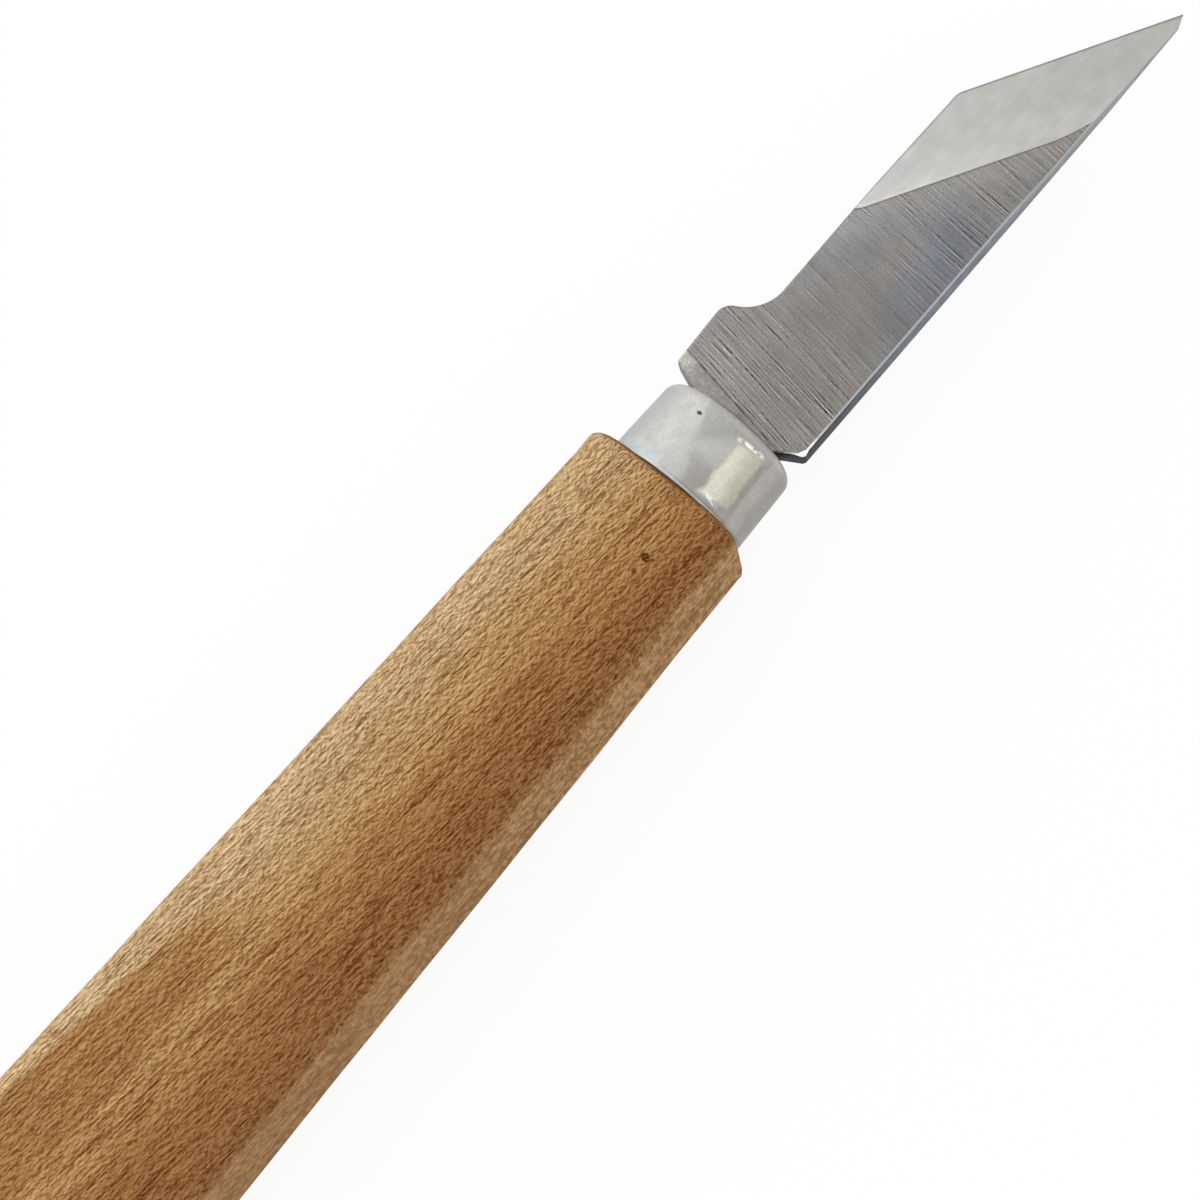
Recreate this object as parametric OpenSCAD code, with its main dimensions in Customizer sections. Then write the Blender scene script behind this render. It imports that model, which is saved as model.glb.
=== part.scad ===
// Skew wood carving knife: a steel blade bedded by its tang in a fruit wood handle, with a ferrule.
// The knife lies on the broad side of its handle. X runs along the knife's axis to the tip,
// Y to the side of the cutting edge and Z up. Sizes are in millimetres.

/* [Blade] */
// Length of the blade from the ferrule to the tip
blade_length = 60.6; // [50:0.2:75]
// Thickness of the blade and its tang
blade_thickness = 2.6; // [1.8:0.1:3.2]
// Distance of the straight spine from the knife's axis, at the heel
spine_offset = 7.3; // [6.5:0.1:8.5]
// How much further from the axis the spine lies at the tip
spine_flare = 0.4; // [0:0.1:1]
// Distance of the heel's highest point from the axis, on its edge side
heel_offset = 8.8; // [7.5:0.1:9.5]
// Slope of the heel's edge side down to the ferrule, in degrees
heel_slope = 2.5; // [0:0.5:6]
// Distance of the blade's edge side from the axis, in front of the scoop
edge_side_offset = 5.1; // [4:0.1:6]
// Radius of the corner between the edge side and the cutting edge
edge_corner_radius = 2; // [1:0.1:4]
// Distance of the heel's corners from the ferrule
heel_start = 2; // [1.5:0.1:3]
// Length of the small slant at the heel's corners
heel_corner_break = 0.2; // [0.2:0.1:1]
// Distance of the scoop's end from the ferrule
scoop_end = 14; // [13:0.1:18]
// Radius of the scoop in front of the heel
scoop_radius = 4.5; // [4:0.1:5.5]
// Radius of the heel's front corner
heel_corner_radius = 1.8; // [0.8:0.1:2.4]
// Angle of the skew cutting edge to the knife's axis, in degrees
skew_angle = 32; // [26:0.1:36]
// Width of the ground bevel, square to the cutting edge
bevel_width = 8.9; // [6:0.1:10]
// Thickness left at the honed cutting edge
edge_land = 0.05; // [0.03:0.01:0.1]
// Length of the small clip at the tip, along the spine
tip_clip_length = 1.5; // [0.8:0.1:2.5]
// Height of the small clip at the tip
tip_clip_height = 0.55; // [0.3:0.05:0.9]
// Chamfer along the blade's plain edges
blade_chamfer = 0.3; // [0.15:0.05:0.4]

/* [Tang] */
// Length of the tang behind the ferrule's front
tang_length = 55; // [35:1:70]
// Width of the tang where it leaves the blade
tang_width = 7.2; // [6:0.1:9]
// Width of the tang at its end
tang_end_width = 5; // [3:0.1:5.8]

/* [Ferrule] */
// Length of the ferrule in front of the handle
ferrule_length = 8.8; // [7:0.1:12]
// Outer diameter of the ferrule at its front
ferrule_front_d = 15; // [14:0.1:18]
// How much wider the ferrule is at the handle
ferrule_taper = 0.5; // [0:0.05:0.8]
// Wall of the ferrule at its front
ferrule_wall = 0.8; // [0.5:0.05:1.2]
// Radius of the ferrule's front rim
ferrule_rim_radius = 1.25; // [0.8:0.05:1.6]
// Thickness of the ferrule's slotted front wall
ferrule_front_wall = 0.9; // [0.6:0.05:1.4]

/* [Handle] */
// Length of the wooden handle behind the ferrule
handle_length = 104; // [85:1:130]
// How far the handle stands out beside the ferrule
shoulder_side = 1.05; // [0.6:0.05:2]
// How far the handle stands out above and below the ferrule
shoulder_top = 0.75; // [0.6:0.05:2]
// How much wider the handle is at its rear end
handle_flare = 5.3; // [0:0.1:7]
// Radius of the long edges at the front of the handle
front_edge_radius = 3.8; // [3:0.1:6]
// Radius of the long edges at the rear of the handle
rear_edge_radius = 2.4; // [1.5:0.1:6]
// Radius of the handle's front rim
front_rim_radius = 1.1; // [0.5:0.1:2]
// Length of the rounded butt
butt_length = 10; // [6:0.5:16]
// How far the rounded butt draws in
butt_inset = 5; // [3:0.1:6]

/* [Fit] */
// Gap of a glued or pressed fit in the wood
fit_gap = 0.05; // [0.02:0.01:0.1]
// Gap between the tang and the ferrule's slot
slot_gap = 0.15; // [0.1:0.05:0.3]
// Least resin between the tang's corners and the tang hole
bedding_gap = 0.17; // [0.1:0.01:0.5]
// Depth of the tang hole past the tang's end
hole_allowance = 1.5; // [0.5:0.1:4]

/* [Hidden] */
$fn = 96;

// Overall sizes, with the origin under the middle of the knife
overall_length = blade_length + ferrule_length + handle_length;
ferrule_rear_d = ferrule_front_d + ferrule_taper;
handle_thickness = ferrule_rear_d + 2 * shoulder_top;
handle_front_width = ferrule_rear_d + 2 * shoulder_side;
ferrule_face_x = overall_length / 2 - blade_length;
axis_z = handle_thickness / 2;

// Ferrule, tenon and tang hole
ferrule_bore_d = ferrule_front_d - 2 * ferrule_wall;
tenon_d = ferrule_bore_d - 2 * fit_gap;
tenon_front = -ferrule_front_wall - fit_gap;
tang_hole_d = norm([tang_width, blade_thickness]) + 2 * bedding_gap;
tang_hole_end = -tang_length - hole_allowance;
drill_point_angle = 118;
drill_point_length = tang_hole_d / 2 / tan(drill_point_angle / 2);

// Corners of the blade's outline, measured from the ferrule's front on the axis
spine_end = [blade_length - tip_clip_length, -spine_offset - spine_flare];
tip = spine_end + [tip_clip_length, tip_clip_height];
edge_corner = [tip.x - (edge_side_offset - tip.y) / tan(skew_angle), edge_side_offset];
rounding_run = edge_corner_radius * tan(skew_angle / 2);
rounding_start = edge_corner + rounding_run * [cos(skew_angle), -sin(skew_angle)];
rounding_end = edge_corner - [rounding_run, 0];
rounding_centre = rounding_end - [0, edge_corner_radius];
scoop_centre = [scoop_end, edge_side_offset + scoop_radius];
corner_centre_y = heel_offset - heel_corner_radius;
corner_overlap = 0.01;
corner_reach = scoop_radius + heel_corner_radius - corner_overlap;
corner_drop = scoop_centre.y - corner_centre_y;
corner_centre = [scoop_end - sqrt(corner_reach ^ 2 - corner_drop ^ 2), corner_centre_y];
heel_end = corner_centre + heel_corner_radius * [-sin(heel_slope), cos(heel_slope)];
scoop_foot = [scoop_end, edge_side_offset];
bevel_angle = atan((blade_thickness - edge_land) / 2 / bevel_width);

// Steps of the handle's loft
corner_steps = 8;
rim_steps = 5;
side_steps = 6;
butt_steps = 9;
cut_margin = 1;

// Puts a piece drawn along the axis, from the ferrule's front, in its place
module on_axis() {
  translate([ferrule_face_x, 0, axis_z]) children();
}

// A round bar along the axis from one x to a further one
module axis_bar(from, to, d) {
  translate([from, 0, 0]) rotate([0, 90, 0]) cylinder(d = d, h = to - from);
}

// The slanted shoulder from the tang's root to a corner of the heel, where a side of the blade starts
function shoulder_corners(corner, next) =
  let (root = [0, sign(corner.y) * tang_width / 2])
  let (back = (root - corner) / norm(root - corner))
  let (ahead = (next - corner) / norm(next - corner))
  [root, corner + back * heel_corner_break, corner + ahead * heel_corner_break];

heel_fall = (heel_end.x - heel_start) * tan(heel_slope);
spine_shoulder = shoulder_corners([heel_start, -spine_offset], spine_end);
edge_shoulder = shoulder_corners([heel_start, heel_end.y - heel_fall], heel_end);

// Plan of the blade and tang
module blade_outline() {
  difference() {
    union() {
      polygon([
        [-tang_length, -tang_end_width / 2],
        each spine_shoulder,
        spine_end,
        tip,
        rounding_start,
        rounding_end,
        scoop_foot,
        scoop_centre,
        corner_centre,
        heel_end,
        edge_shoulder[2],
        edge_shoulder[1],
        edge_shoulder[0],
        [-tang_length, tang_end_width / 2]
      ]);
      translate(corner_centre) circle(r = heel_corner_radius);
      translate(rounding_centre) circle(r = edge_corner_radius);
    }
    translate(scoop_centre) circle(r = scoop_radius);
  }
}

// Both halves of a cut that is the same on the blade's two faces
module on_both_faces() {
  children();
  mirror([0, 0, 1]) children();
}

// The 45 degree chamfer along a straight edge, with the blade to the left of its run
module edge_chamfer(from, to, before, after) {
  run = to - from;
  reach = 4 * blade_chamfer;
  on_both_faces()
    translate([from.x, from.y, blade_thickness / 2])
      rotate([0, 0, atan2(run.y, run.x)])
        rotate([45, 0, 0])
          translate([-before, -reach, -blade_chamfer / sqrt(2)])
            cube([before + norm(run) + after, 2 * reach, reach]);
}

// What the grinder takes off, above a plane that rises from the cutting edge
module bevel_cut() {
  edge_run = norm(tip - edge_corner);
  reach = bevel_width + blade_length;
  on_both_faces()
    translate([edge_corner.x, edge_corner.y, edge_land / 2])
      rotate([0, 0, -skew_angle])
        rotate([-bevel_angle, 0, 0])
          translate([-edge_run, -reach, 0])
            cube([3 * edge_run, reach + cut_margin, reach]);
}

// The tang by itself, which the resin closes round
module tang() {
  linear_extrude(blade_thickness, center = true)
    polygon([
      [-tang_length, -tang_end_width / 2],
      [0, -tang_width / 2],
      [0, tang_width / 2],
      [-tang_length, tang_end_width / 2]
    ]);
}

// The blade with its tang, ground to a skew edge on both faces
module blade() {
  color("#9a9791") on_axis()
    difference() {
      linear_extrude(blade_thickness, center = true) blade_outline();
      bevel_cut();
      edge_chamfer(spine_shoulder[0], spine_shoulder[1], -blade_chamfer, cut_margin);
      edge_chamfer(spine_shoulder[2], spine_end, cut_margin, cut_margin);
      edge_chamfer(rounding_end, scoop_foot, cut_margin, -blade_chamfer);
      edge_chamfer(heel_end, edge_shoulder[2], cut_margin, cut_margin);
      edge_chamfer(edge_shoulder[1], edge_shoulder[0], cut_margin, -blade_chamfer);
    }
}

// Half section of the ferrule, with its radius to the right and its front at the top
module ferrule_section() {
  front_r = ferrule_front_d / 2;
  rim_centre = [front_r - ferrule_rim_radius, -ferrule_rim_radius];
  lean = atan(ferrule_taper / 2 / (ferrule_length - ferrule_rim_radius));
  difference() {
    union() {
      polygon([
        [0, -ferrule_length],
        [ferrule_rear_d / 2, -ferrule_length],
        rim_centre + ferrule_rim_radius * [cos(lean), sin(lean)],
        [rim_centre.x, 0],
        [0, 0]
      ]);
      translate(rim_centre) circle(r = ferrule_rim_radius);
    }
    translate([0, -ferrule_length])
      square([ferrule_bore_d / 2, ferrule_length - ferrule_front_wall]);
  }
}

// The drawn cup over the handle's tenon, slotted for the tang
module ferrule() {
  slot = [tang_width + 2 * slot_gap, blade_thickness + 2 * slot_gap];
  color("#b9b7ae") on_axis()
    difference() {
      rotate([0, 90, 0]) rotate_extrude() ferrule_section();
      cube([3 * ferrule_front_wall, slot.x, slot.y], center = true);
    }
}

// Width of the handle and radius of its long edges, at a distance from its front
function handle_width(u) = handle_front_width + handle_flare * u / handle_length;
function edge_radius(u) =
  front_edge_radius + (rear_edge_radius - front_edge_radius) * u / handle_length;

// One section of the handle, a rounded rectangle drawn in by an inset
function handle_section(u, inset) =
  let (half_w = handle_width(u) / 2 - inset, half_t = handle_thickness / 2 - inset)
  let (r = min(edge_radius(u) + inset / 4, half_t - fit_gap))
  [
    for (quarter = [0 : 3])
      let (side = [[1, 1], [-1, 1], [-1, -1], [1, -1]][quarter])
        for (i = [0 : corner_steps])
          let (a = 90 * (quarter + i / corner_steps))
            [
              -ferrule_length - u,
              side.x * (half_w - r) + r * cos(a),
              side.y * (half_t - r) + r * sin(a)
            ]
  ];

// Distance and inset of each section: the front rim, the straight sides and the rounded butt
side_start = front_rim_radius;
side_end = handle_length - butt_length;
handle_stations = [
  for (i = [0 : rim_steps])
    let (a = 90 * i / rim_steps)
      front_rim_radius * [1 - cos(a), 1 - sin(a)],
  for (i = [1 : side_steps - 1])
    [side_start + (side_end - side_start) * i / side_steps, 0],
  for (i = [0 : butt_steps])
    let (a = 90 * i / butt_steps)
      [side_end + butt_length * sin(a), butt_inset * (1 - cos(a))]
];

// The handle's body, lofted through its sections
module handle_body() {
  ring = 4 * (corner_steps + 1);
  last = len(handle_stations) - 1;
  points = [for (s = handle_stations) each handle_section(s[0], s[1])];
  sides = [
    for (k = [0 : last - 1], i = [0 : ring - 1])
      let (a = k * ring + i, b = k * ring + (i + 1) % ring)
        each [[a, b, b + ring], [a, b + ring, a + ring]]
  ];
  front = [for (i = [1 : ring - 2]) [0, i + 1, i]];
  butt = [for (i = [1 : ring - 2]) [0, i, i + 1] + last * ring * [1, 1, 1]];
  polyhedron(points = points, faces = concat(sides, front, butt));
}

// The drilled hole with its drill point, or what fills it, from one x on the axis
module tang_hole(from, d) {
  axis_bar(tang_hole_end, from, d);
  translate([tang_hole_end, 0, 0])
    rotate([0, -90, 0]) cylinder(d1 = d, d2 = 0, h = drill_point_length);
}

// The wooden handle with its tenon and tang hole
module handle() {
  color("#a9794a") on_axis()
    difference() {
      union() {
        handle_body();
        axis_bar(-ferrule_length - tenon_d / 2, tenon_front, tenon_d);
      }
      tang_hole(tenon_front + cut_margin, tang_hole_d);
    }
}

// The set resin between the tang and the wood
module tang_bedding() {
  color("#c8b071") on_axis()
    difference() {
      tang_hole(tenon_front, tang_hole_d - 2 * fit_gap);
      tang();
    }
}

blade();
ferrule();
handle();
tang_bedding();
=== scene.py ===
import math

import bmesh
import bpy
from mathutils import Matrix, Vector


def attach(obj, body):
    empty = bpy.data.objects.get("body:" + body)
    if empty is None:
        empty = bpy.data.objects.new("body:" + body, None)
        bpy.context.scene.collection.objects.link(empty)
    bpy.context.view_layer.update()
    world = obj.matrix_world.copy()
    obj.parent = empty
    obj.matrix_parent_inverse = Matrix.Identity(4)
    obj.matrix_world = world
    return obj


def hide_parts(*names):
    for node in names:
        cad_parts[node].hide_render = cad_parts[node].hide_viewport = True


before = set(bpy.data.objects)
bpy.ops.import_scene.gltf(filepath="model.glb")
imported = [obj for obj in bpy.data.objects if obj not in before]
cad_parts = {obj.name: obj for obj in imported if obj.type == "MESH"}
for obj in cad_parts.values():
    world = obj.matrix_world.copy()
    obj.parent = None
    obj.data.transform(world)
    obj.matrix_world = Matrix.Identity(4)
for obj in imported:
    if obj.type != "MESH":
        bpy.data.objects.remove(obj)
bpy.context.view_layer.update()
mm = 0.001
ferruleFace = 26.1  # x of the ferrule's front, from which the knife is measured
axisHeight = 8.5
asOne = 2e-6  # m, points nearer than this are one point
inLine = 1e-6  # m, points that differ less than this stand in line
print("frame loaded:", ", ".join(sorted(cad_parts)))


# working in edit mode

def place(x, y, z):  # a point measured from the ferrule's front on the knife's axis, in mm
    return Vector((ferruleFace + x, y, axisHeight + z)) * mm


def pick(kind, test):  # selects what lies where the test says
    bpy.ops.mesh.select_mode(type=kind)
    bpy.ops.mesh.select_all(action="DESELECT")
    mesh = bmesh.from_edit_mesh(bpy.context.object.data)
    for item in {"VERT": mesh.verts, "EDGE": mesh.edges}[kind]:
        points = [item.co] if kind == "VERT" else [v.co for v in item.verts]
        if test(points):
            item.select_set(True)
    mesh.select_flush_mode()
    bmesh.update_edit_mesh(bpy.context.object.data)


def newPiece(name):  # a small sheet to start from, open for editing and selected
    bpy.ops.object.select_all(action="DESELECT")
    bpy.ops.mesh.primitive_plane_add(size=mm, location=(0, 0, 0))
    piece = bpy.context.object
    piece.name = name
    piece.data.name = name
    bpy.ops.object.mode_set(mode="EDIT")
    bpy.ops.mesh.select_mode(type="VERT")
    bpy.ops.mesh.select_all(action="SELECT")
    return piece


def firstPoint(name, point):  # a new piece that is one vertex so far
    piece = newPiece(name)
    bpy.ops.mesh.merge(type="CENTER")
    bpy.ops.transform.translate(value=point)
    return piece


def drawLine(points):  # goes on from the last vertex, which stands at the first point
    for here, there in zip(points, points[1:]):
        bpy.ops.mesh.extrude_vertices_move(TRANSFORM_OT_translate={"value": there - here})


def drawArc(centre, axis, degrees, steps):
    bpy.ops.mesh.spin(steps=steps, angle=-math.radians(degrees), center=centre, axis=axis)


def finishMesh(piece, smoothAngle):
    bpy.ops.mesh.select_all(action="SELECT")
    bpy.ops.mesh.remove_doubles(threshold=asOne)
    bpy.ops.mesh.normals_make_consistent(inside=False)
    bpy.ops.object.mode_set(mode="OBJECT")
    bpy.ops.object.shade_smooth_by_angle(angle=math.radians(smoothAngle))
    return piece


def mount(piece, node, material):
    piece.data.materials.clear()
    piece.data.materials.append(material)
    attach(piece, "root")
    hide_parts(node)
    print(piece.name, len(piece.data.vertices), "points in", material.name)


# the blade: one flat outline, drawn out to its thickness, chamfered, then ground on both faces

blade = {
    "length": 60.6,
    "thickness": 2.6,
    "spineAtHeel": -7.3,
    "spineAtTip": -7.7,
    "heelTop": 8.8,
    "heelSlope": 2.5,
    "heelStart": 2.0,
    "heelBreak": 0.2,
    "heelRadius": 1.8,
    "heelSteps": 10,
    "edgeSide": 5.1,
    "edgeCornerRadius": 2.0,
    "cornerSteps": 6,
    "scoopEnd": 14.0,
    "scoopRadius": 4.5,
    "scoopSteps": 16,
    "skew": 32.0,
    "bevelWidth": 8.9,
    "edgeLand": 0.05,
    "tipClip": (1.5, 0.55),
    "chamfer": 0.3,
    "chamferSteps": 2,
    "chamferFrom": 0.5,  # x where the tang ends and the chamfers begin
    "spineSide": 0.1,  # what lies nearer to the spine than this is not the cutting edge
    "easedRadius": 3.5,
    "easedSlope": 41.0,
    "easedStrokes": (-0.5, 0.0, 0.5),
    "tangLength": 55.0,
    "tangRoot": 3.6,
    "tangEnd": 2.5,
    "smoothAngle": 18,
}

skew = math.radians(blade["skew"])
spineEnd = Vector((blade["length"] - blade["tipClip"][0], blade["spineAtTip"]))
tip = spineEnd + Vector(blade["tipClip"])
spineCorner = Vector((blade["heelStart"], blade["spineAtHeel"]))
edgeCorner = Vector((tip.x - (blade["edgeSide"] - tip.y) / math.tan(skew), blade["edgeSide"]))
cornerRun = blade["edgeCornerRadius"] * math.tan(skew / 2)


def shoulderPoints(corner, following):  # from the tang's root round the heel's corner
    root = Vector((0, math.copysign(blade["tangRoot"], corner.y)))
    back = (root - corner).normalized() * blade["heelBreak"]
    ahead = (following - corner).normalized() * blade["heelBreak"]
    return [root, corner + back, corner + ahead]


def drawOutline():  # from the tang along the spine to the tip, and back by the edge, the scoop and the heel
    flat = lambda p: place(p[0], p[1], -blade["thickness"] / 2)
    up = (0, 0, 1)
    cornerStart = edgeCorner + cornerRun * Vector((math.cos(skew), -math.sin(skew)))
    cornerMiddle = edgeCorner - Vector((cornerRun, blade["edgeCornerRadius"]))
    cornerEnd = edgeCorner - Vector((cornerRun, 0))
    foot = Vector((blade["scoopEnd"], blade["edgeSide"]))
    scoopMiddle = foot + Vector((0, blade["scoopRadius"]))
    heelY = blade["heelTop"] - blade["heelRadius"]
    reach = blade["scoopRadius"] + blade["heelRadius"]
    drop = scoopMiddle.y - heelY
    heelMiddle = Vector((foot.x - math.sqrt(reach ** 2 - drop ** 2), heelY))
    sweep = 90 - math.degrees(math.asin(drop / reach))
    slope = math.radians(blade["heelSlope"])
    heelEnd = heelMiddle + blade["heelRadius"] * Vector((-math.sin(slope), math.cos(slope)))
    heelDrop = (heelEnd.x - blade["heelStart"]) * math.tan(slope)
    heelCorner = Vector((blade["heelStart"], heelEnd.y - heelDrop))
    spineShoulder = shoulderPoints(spineCorner, spineEnd)
    edgeShoulder = shoulderPoints(heelCorner, heelEnd)

    start = (-blade["tangLength"], -blade["tangEnd"])
    end = (-blade["tangLength"], blade["tangEnd"])
    piece = firstPoint("carvingBlade", flat(start))
    drawLine([flat(p) for p in [start, *spineShoulder, spineEnd, tip, cornerStart]])
    drawArc(flat(cornerMiddle), up, blade["skew"], blade["cornerSteps"])
    drawLine([flat(cornerEnd), flat(foot)])
    drawArc(flat(scoopMiddle), up, -sweep, blade["scoopSteps"])
    drawArc(flat(heelMiddle), up, sweep + blade["heelSlope"], blade["heelSteps"])
    drawLine([flat(p) for p in [heelEnd, *reversed(edgeShoulder), end]])
    return piece


def chamferOutline():  # all of it but the tang, the tip and the cutting edge
    def plainEdge(points):
        a, b = points
        middle = (a + b) / 2
        x, y = middle.x / mm - ferruleFace, middle.y / mm
        onFace = abs(a.z - b.z) < inLine
        cutting = x > edgeCorner.x - cornerRun and y > spineEnd.y + blade["spineSide"]
        return onFace and x > blade["chamferFrom"] and not cutting

    pick("EDGE", plainEdge)
    bpy.ops.mesh.bevel(offset=blade["chamfer"] * mm, segments=blade["chamferSteps"], affect="EDGES")


def grind(point, outwards):  # takes off what lies outside a plane
    bpy.ops.mesh.select_all(action="SELECT")
    bpy.ops.mesh.bisect(plane_co=point, plane_no=outwards.normalized(), use_fill=True, clear_outer=True)


# both faces to the cutting edge, and the spine's corner of the heel eased in strokes,
# which also take off the tang, all but its first 3 to 10 mm, out of sight behind the ferrule's front
def grindFaces():
    rise = (blade["thickness"] - blade["edgeLand"]) / 2 / blade["bevelWidth"]
    outward = Vector((math.sin(skew), math.cos(skew), 0))
    shoulderTurn = math.atan2(spineCorner.y + blade["tangRoot"], spineCorner.x) - math.pi / 2
    half = (-math.pi / 2 - shoulderTurn) / 2
    bisector = shoulderTurn + half
    inwards = Vector((-math.cos(bisector), -math.sin(bisector)))
    easedMiddle = spineCorner + inwards * blade["easedRadius"] / math.cos(half)
    steep = math.radians(blade["easedSlope"])
    for side in (1, -1):
        grind(place(edgeCorner.x, edgeCorner.y, side * blade["edgeLand"] / 2),
              outward * rise + Vector((0, 0, side)))
        for share in blade["easedStrokes"]:
            turn = bisector + share * half
            flank = Vector((math.cos(turn), math.sin(turn)))
            touch = easedMiddle + flank * blade["easedRadius"]
            grind(place(touch.x, touch.y, side * blade["thickness"] / 2),
                  Vector((flank.x * math.sin(steep), flank.y * math.sin(steep), side * math.cos(steep))))


def makeBlade():
    piece = drawOutline()
    bpy.ops.mesh.select_all(action="SELECT")
    bpy.ops.mesh.edge_face_add()
    bpy.ops.mesh.extrude_region_move(TRANSFORM_OT_translate={"value": (0, 0, blade["thickness"] * mm)})
    chamferOutline()
    grindFaces()
    return finishMesh(piece, blade["smoothAngle"])


# the ferrule: its half section drawn and spun round the axis, then slotted for the tang

ferrule = {
    "length": 8.8,
    "frontRadius": 7.5,
    "rearRadius": 7.75,
    "boreRadius": 6.7,
    "frontWall": 0.9,
    "rimRadius": 1.25,
    "rimSteps": 10,
    "rearBreak": 0.14,
    "roundSteps": 128,
    "slot": (2.7, 7.5, 2.9),  # length, width and height of what is cut out
    "smoothAngle": 25,
}


def makeFerrule():
    rim, small, bore = ferrule["rimRadius"], ferrule["rearBreak"], ferrule["boreRadius"]
    rear, front = -ferrule["length"], ferrule["frontRadius"]
    lean = math.atan((ferrule["rearRadius"] - front) / (ferrule["length"] - rim))
    rimMiddle = (-rim, front - rim)
    section = lambda p: place(p[0], 0, p[1])
    start = (-ferrule["frontWall"], 0)
    piece = firstPoint("ferruleCup", section(start))
    drawLine([section(p) for p in [
        start,
        (-ferrule["frontWall"], bore),
        (rear, bore),
        (rear, ferrule["rearRadius"] - small),
        (rear + small, ferrule["rearRadius"] - small * math.tan(lean)),
        (rimMiddle[0] + rim * math.sin(lean), rimMiddle[1] + rim * math.cos(lean)),
    ]])
    drawArc(section(rimMiddle), (0, 1, 0), 90 - math.degrees(lean), ferrule["rimSteps"])
    drawLine([section((0, rimMiddle[1])), section((0, 0))])
    bpy.ops.mesh.select_all(action="SELECT")
    bpy.ops.mesh.spin(steps=ferrule["roundSteps"], angle=math.tau, center=place(0, 0, 0), axis=(1, 0, 0))
    finishMesh(piece, ferrule["smoothAngle"])
    cutSlot(piece)
    return piece


def cutSlot(piece):
    bpy.ops.object.select_all(action="DESELECT")
    bpy.ops.mesh.primitive_cube_add(size=1, location=place(0, 0, 0))
    cutter = bpy.context.object
    bpy.ops.object.mode_set(mode="EDIT")
    bpy.ops.transform.resize(value=Vector(ferrule["slot"]) * mm)
    bpy.ops.object.mode_set(mode="OBJECT")
    cut = piece.modifiers.new("slot", "BOOLEAN")
    cut.object = cutter
    cut.operation = "DIFFERENCE"
    bpy.context.view_layer.objects.active = piece
    bpy.ops.object.modifier_apply(modifier="slot")
    bpy.data.objects.remove(cutter)


# the handle: rounded sections set along the axis and bridged, with its tenon and tang hole

handle = {
    "length": 104.0,
    "frontWidth": 17.6,
    "flare": 5.3,
    "thickness": 17.0,
    "frontEdge": 3.8,
    "rearEdge": 2.4,
    "insetEase": 0.25,  # how much rounder the edges grow for each mm that a section is drawn in
    "leastFlat": 0.05,
    "frontRim": 1.1,
    "rimSteps": 7,
    "buttLength": 10.0,
    "buttInset": 5.0,
    "buttSteps": 14,
    "tenonRadius": 6.65,
    "tenonFront": -0.95,
    "holeRadius": 3.998,
    "holeEnd": -56.5,
    "drillPoint": 2.402,
    "cornerSteps": 11,
    "lengthCuts": 48,
    "broadSide": 3.0,  # straight sides longer than this are cut into strips
    "stripCuts": 9,
    "waverSize": 22.0,
    "waverDepth": 0.22,
    "smoothAngle": 35,
}


def addSection(u, inset):  # one rounded rectangle at a distance from the handle's front
    share = u / handle["length"]
    width = handle["frontWidth"] + handle["flare"] * share - 2 * inset
    thickness = handle["thickness"] - 2 * inset
    radius = handle["frontEdge"] + (handle["rearEdge"] - handle["frontEdge"]) * share
    radius = min(radius + inset * handle["insetEase"], thickness / 2 - handle["leastFlat"])
    middle = place(-ferrule["length"] - u, 0, 0)
    bpy.ops.mesh.primitive_plane_add(size=1, location=middle, rotation=(0, math.pi / 2, 0))
    bpy.ops.transform.resize(value=(1, width * mm, thickness * mm), center_override=middle)
    bpy.ops.mesh.bevel(offset=radius * mm, segments=handle["cornerSteps"], affect="VERTICES")
    bpy.ops.mesh.delete(type="ONLY_FACE")


def addRing(x, radius):  # a round section with as many points as the others
    points = 4 * (handle["cornerSteps"] + 1)
    bpy.ops.mesh.primitive_circle_add(
        vertices=points, radius=radius * mm, location=place(x, 0, 0), rotation=(0, math.pi / 2, 0))


def bridge(xs, cuts=0):  # joins the sections that stand at these places
    near = [place(x, 0, 0).x for x in xs]
    atPlace = lambda p: min(abs(p.x - x) for x in near) < asOne
    pick("EDGE", lambda points: all(map(atPlace, points)) and abs(points[0].x - points[1].x) < inLine)
    bpy.ops.mesh.bridge_edge_loops(number_cuts=cuts, interpolation="LINEAR")


def push(x):  # draws the selected ring out along the axis
    bpy.ops.mesh.extrude_edges_move(TRANSFORM_OT_translate={"value": (x * mm, 0, 0)})


def tenonAndHole():  # the turned tenon under the ferrule and the drilled hole for the tang
    front, tenonFront = -ferrule["length"], handle["tenonFront"]
    addRing(front, handle["tenonRadius"])
    bridge([front])
    fromAxis = lambda p: Vector((p.y, p.z - axisHeight * mm)).length
    onTenon = lambda p: abs(fromAxis(p) - handle["tenonRadius"] * mm) < asOne
    atFront = lambda p: abs(p.x - place(front, 0, 0).x) < inLine
    pick("EDGE", lambda points: all(atFront(p) and onTenon(p) for p in points))
    push(tenonFront - front)
    push(0)
    narrow = handle["holeRadius"] / handle["tenonRadius"]
    bpy.ops.transform.resize(value=(1, narrow, narrow), center_override=place(tenonFront, 0, 0))
    push(handle["holeEnd"] - tenonFront)
    push(-handle["drillPoint"])
    bpy.ops.mesh.merge(type="CENTER")


def sandFaces(piece):  # the hand-sanded faces waver a little, inwards only
    unevenness = bpy.data.textures.new("sandedByHand", "CLOUDS")
    unevenness.noise_scale = handle["waverSize"] * mm
    waver = piece.modifiers.new("waver", "DISPLACE")
    waver.texture = unevenness
    waver.texture_coords = "LOCAL"
    waver.strength = handle["waverDepth"] * mm
    waver.mid_level = 1
    waver.vertex_group = piece.vertex_groups[0].name
    bpy.ops.object.modifier_apply(modifier="waver")
    bpy.data.textures.remove(unevenness)


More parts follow.
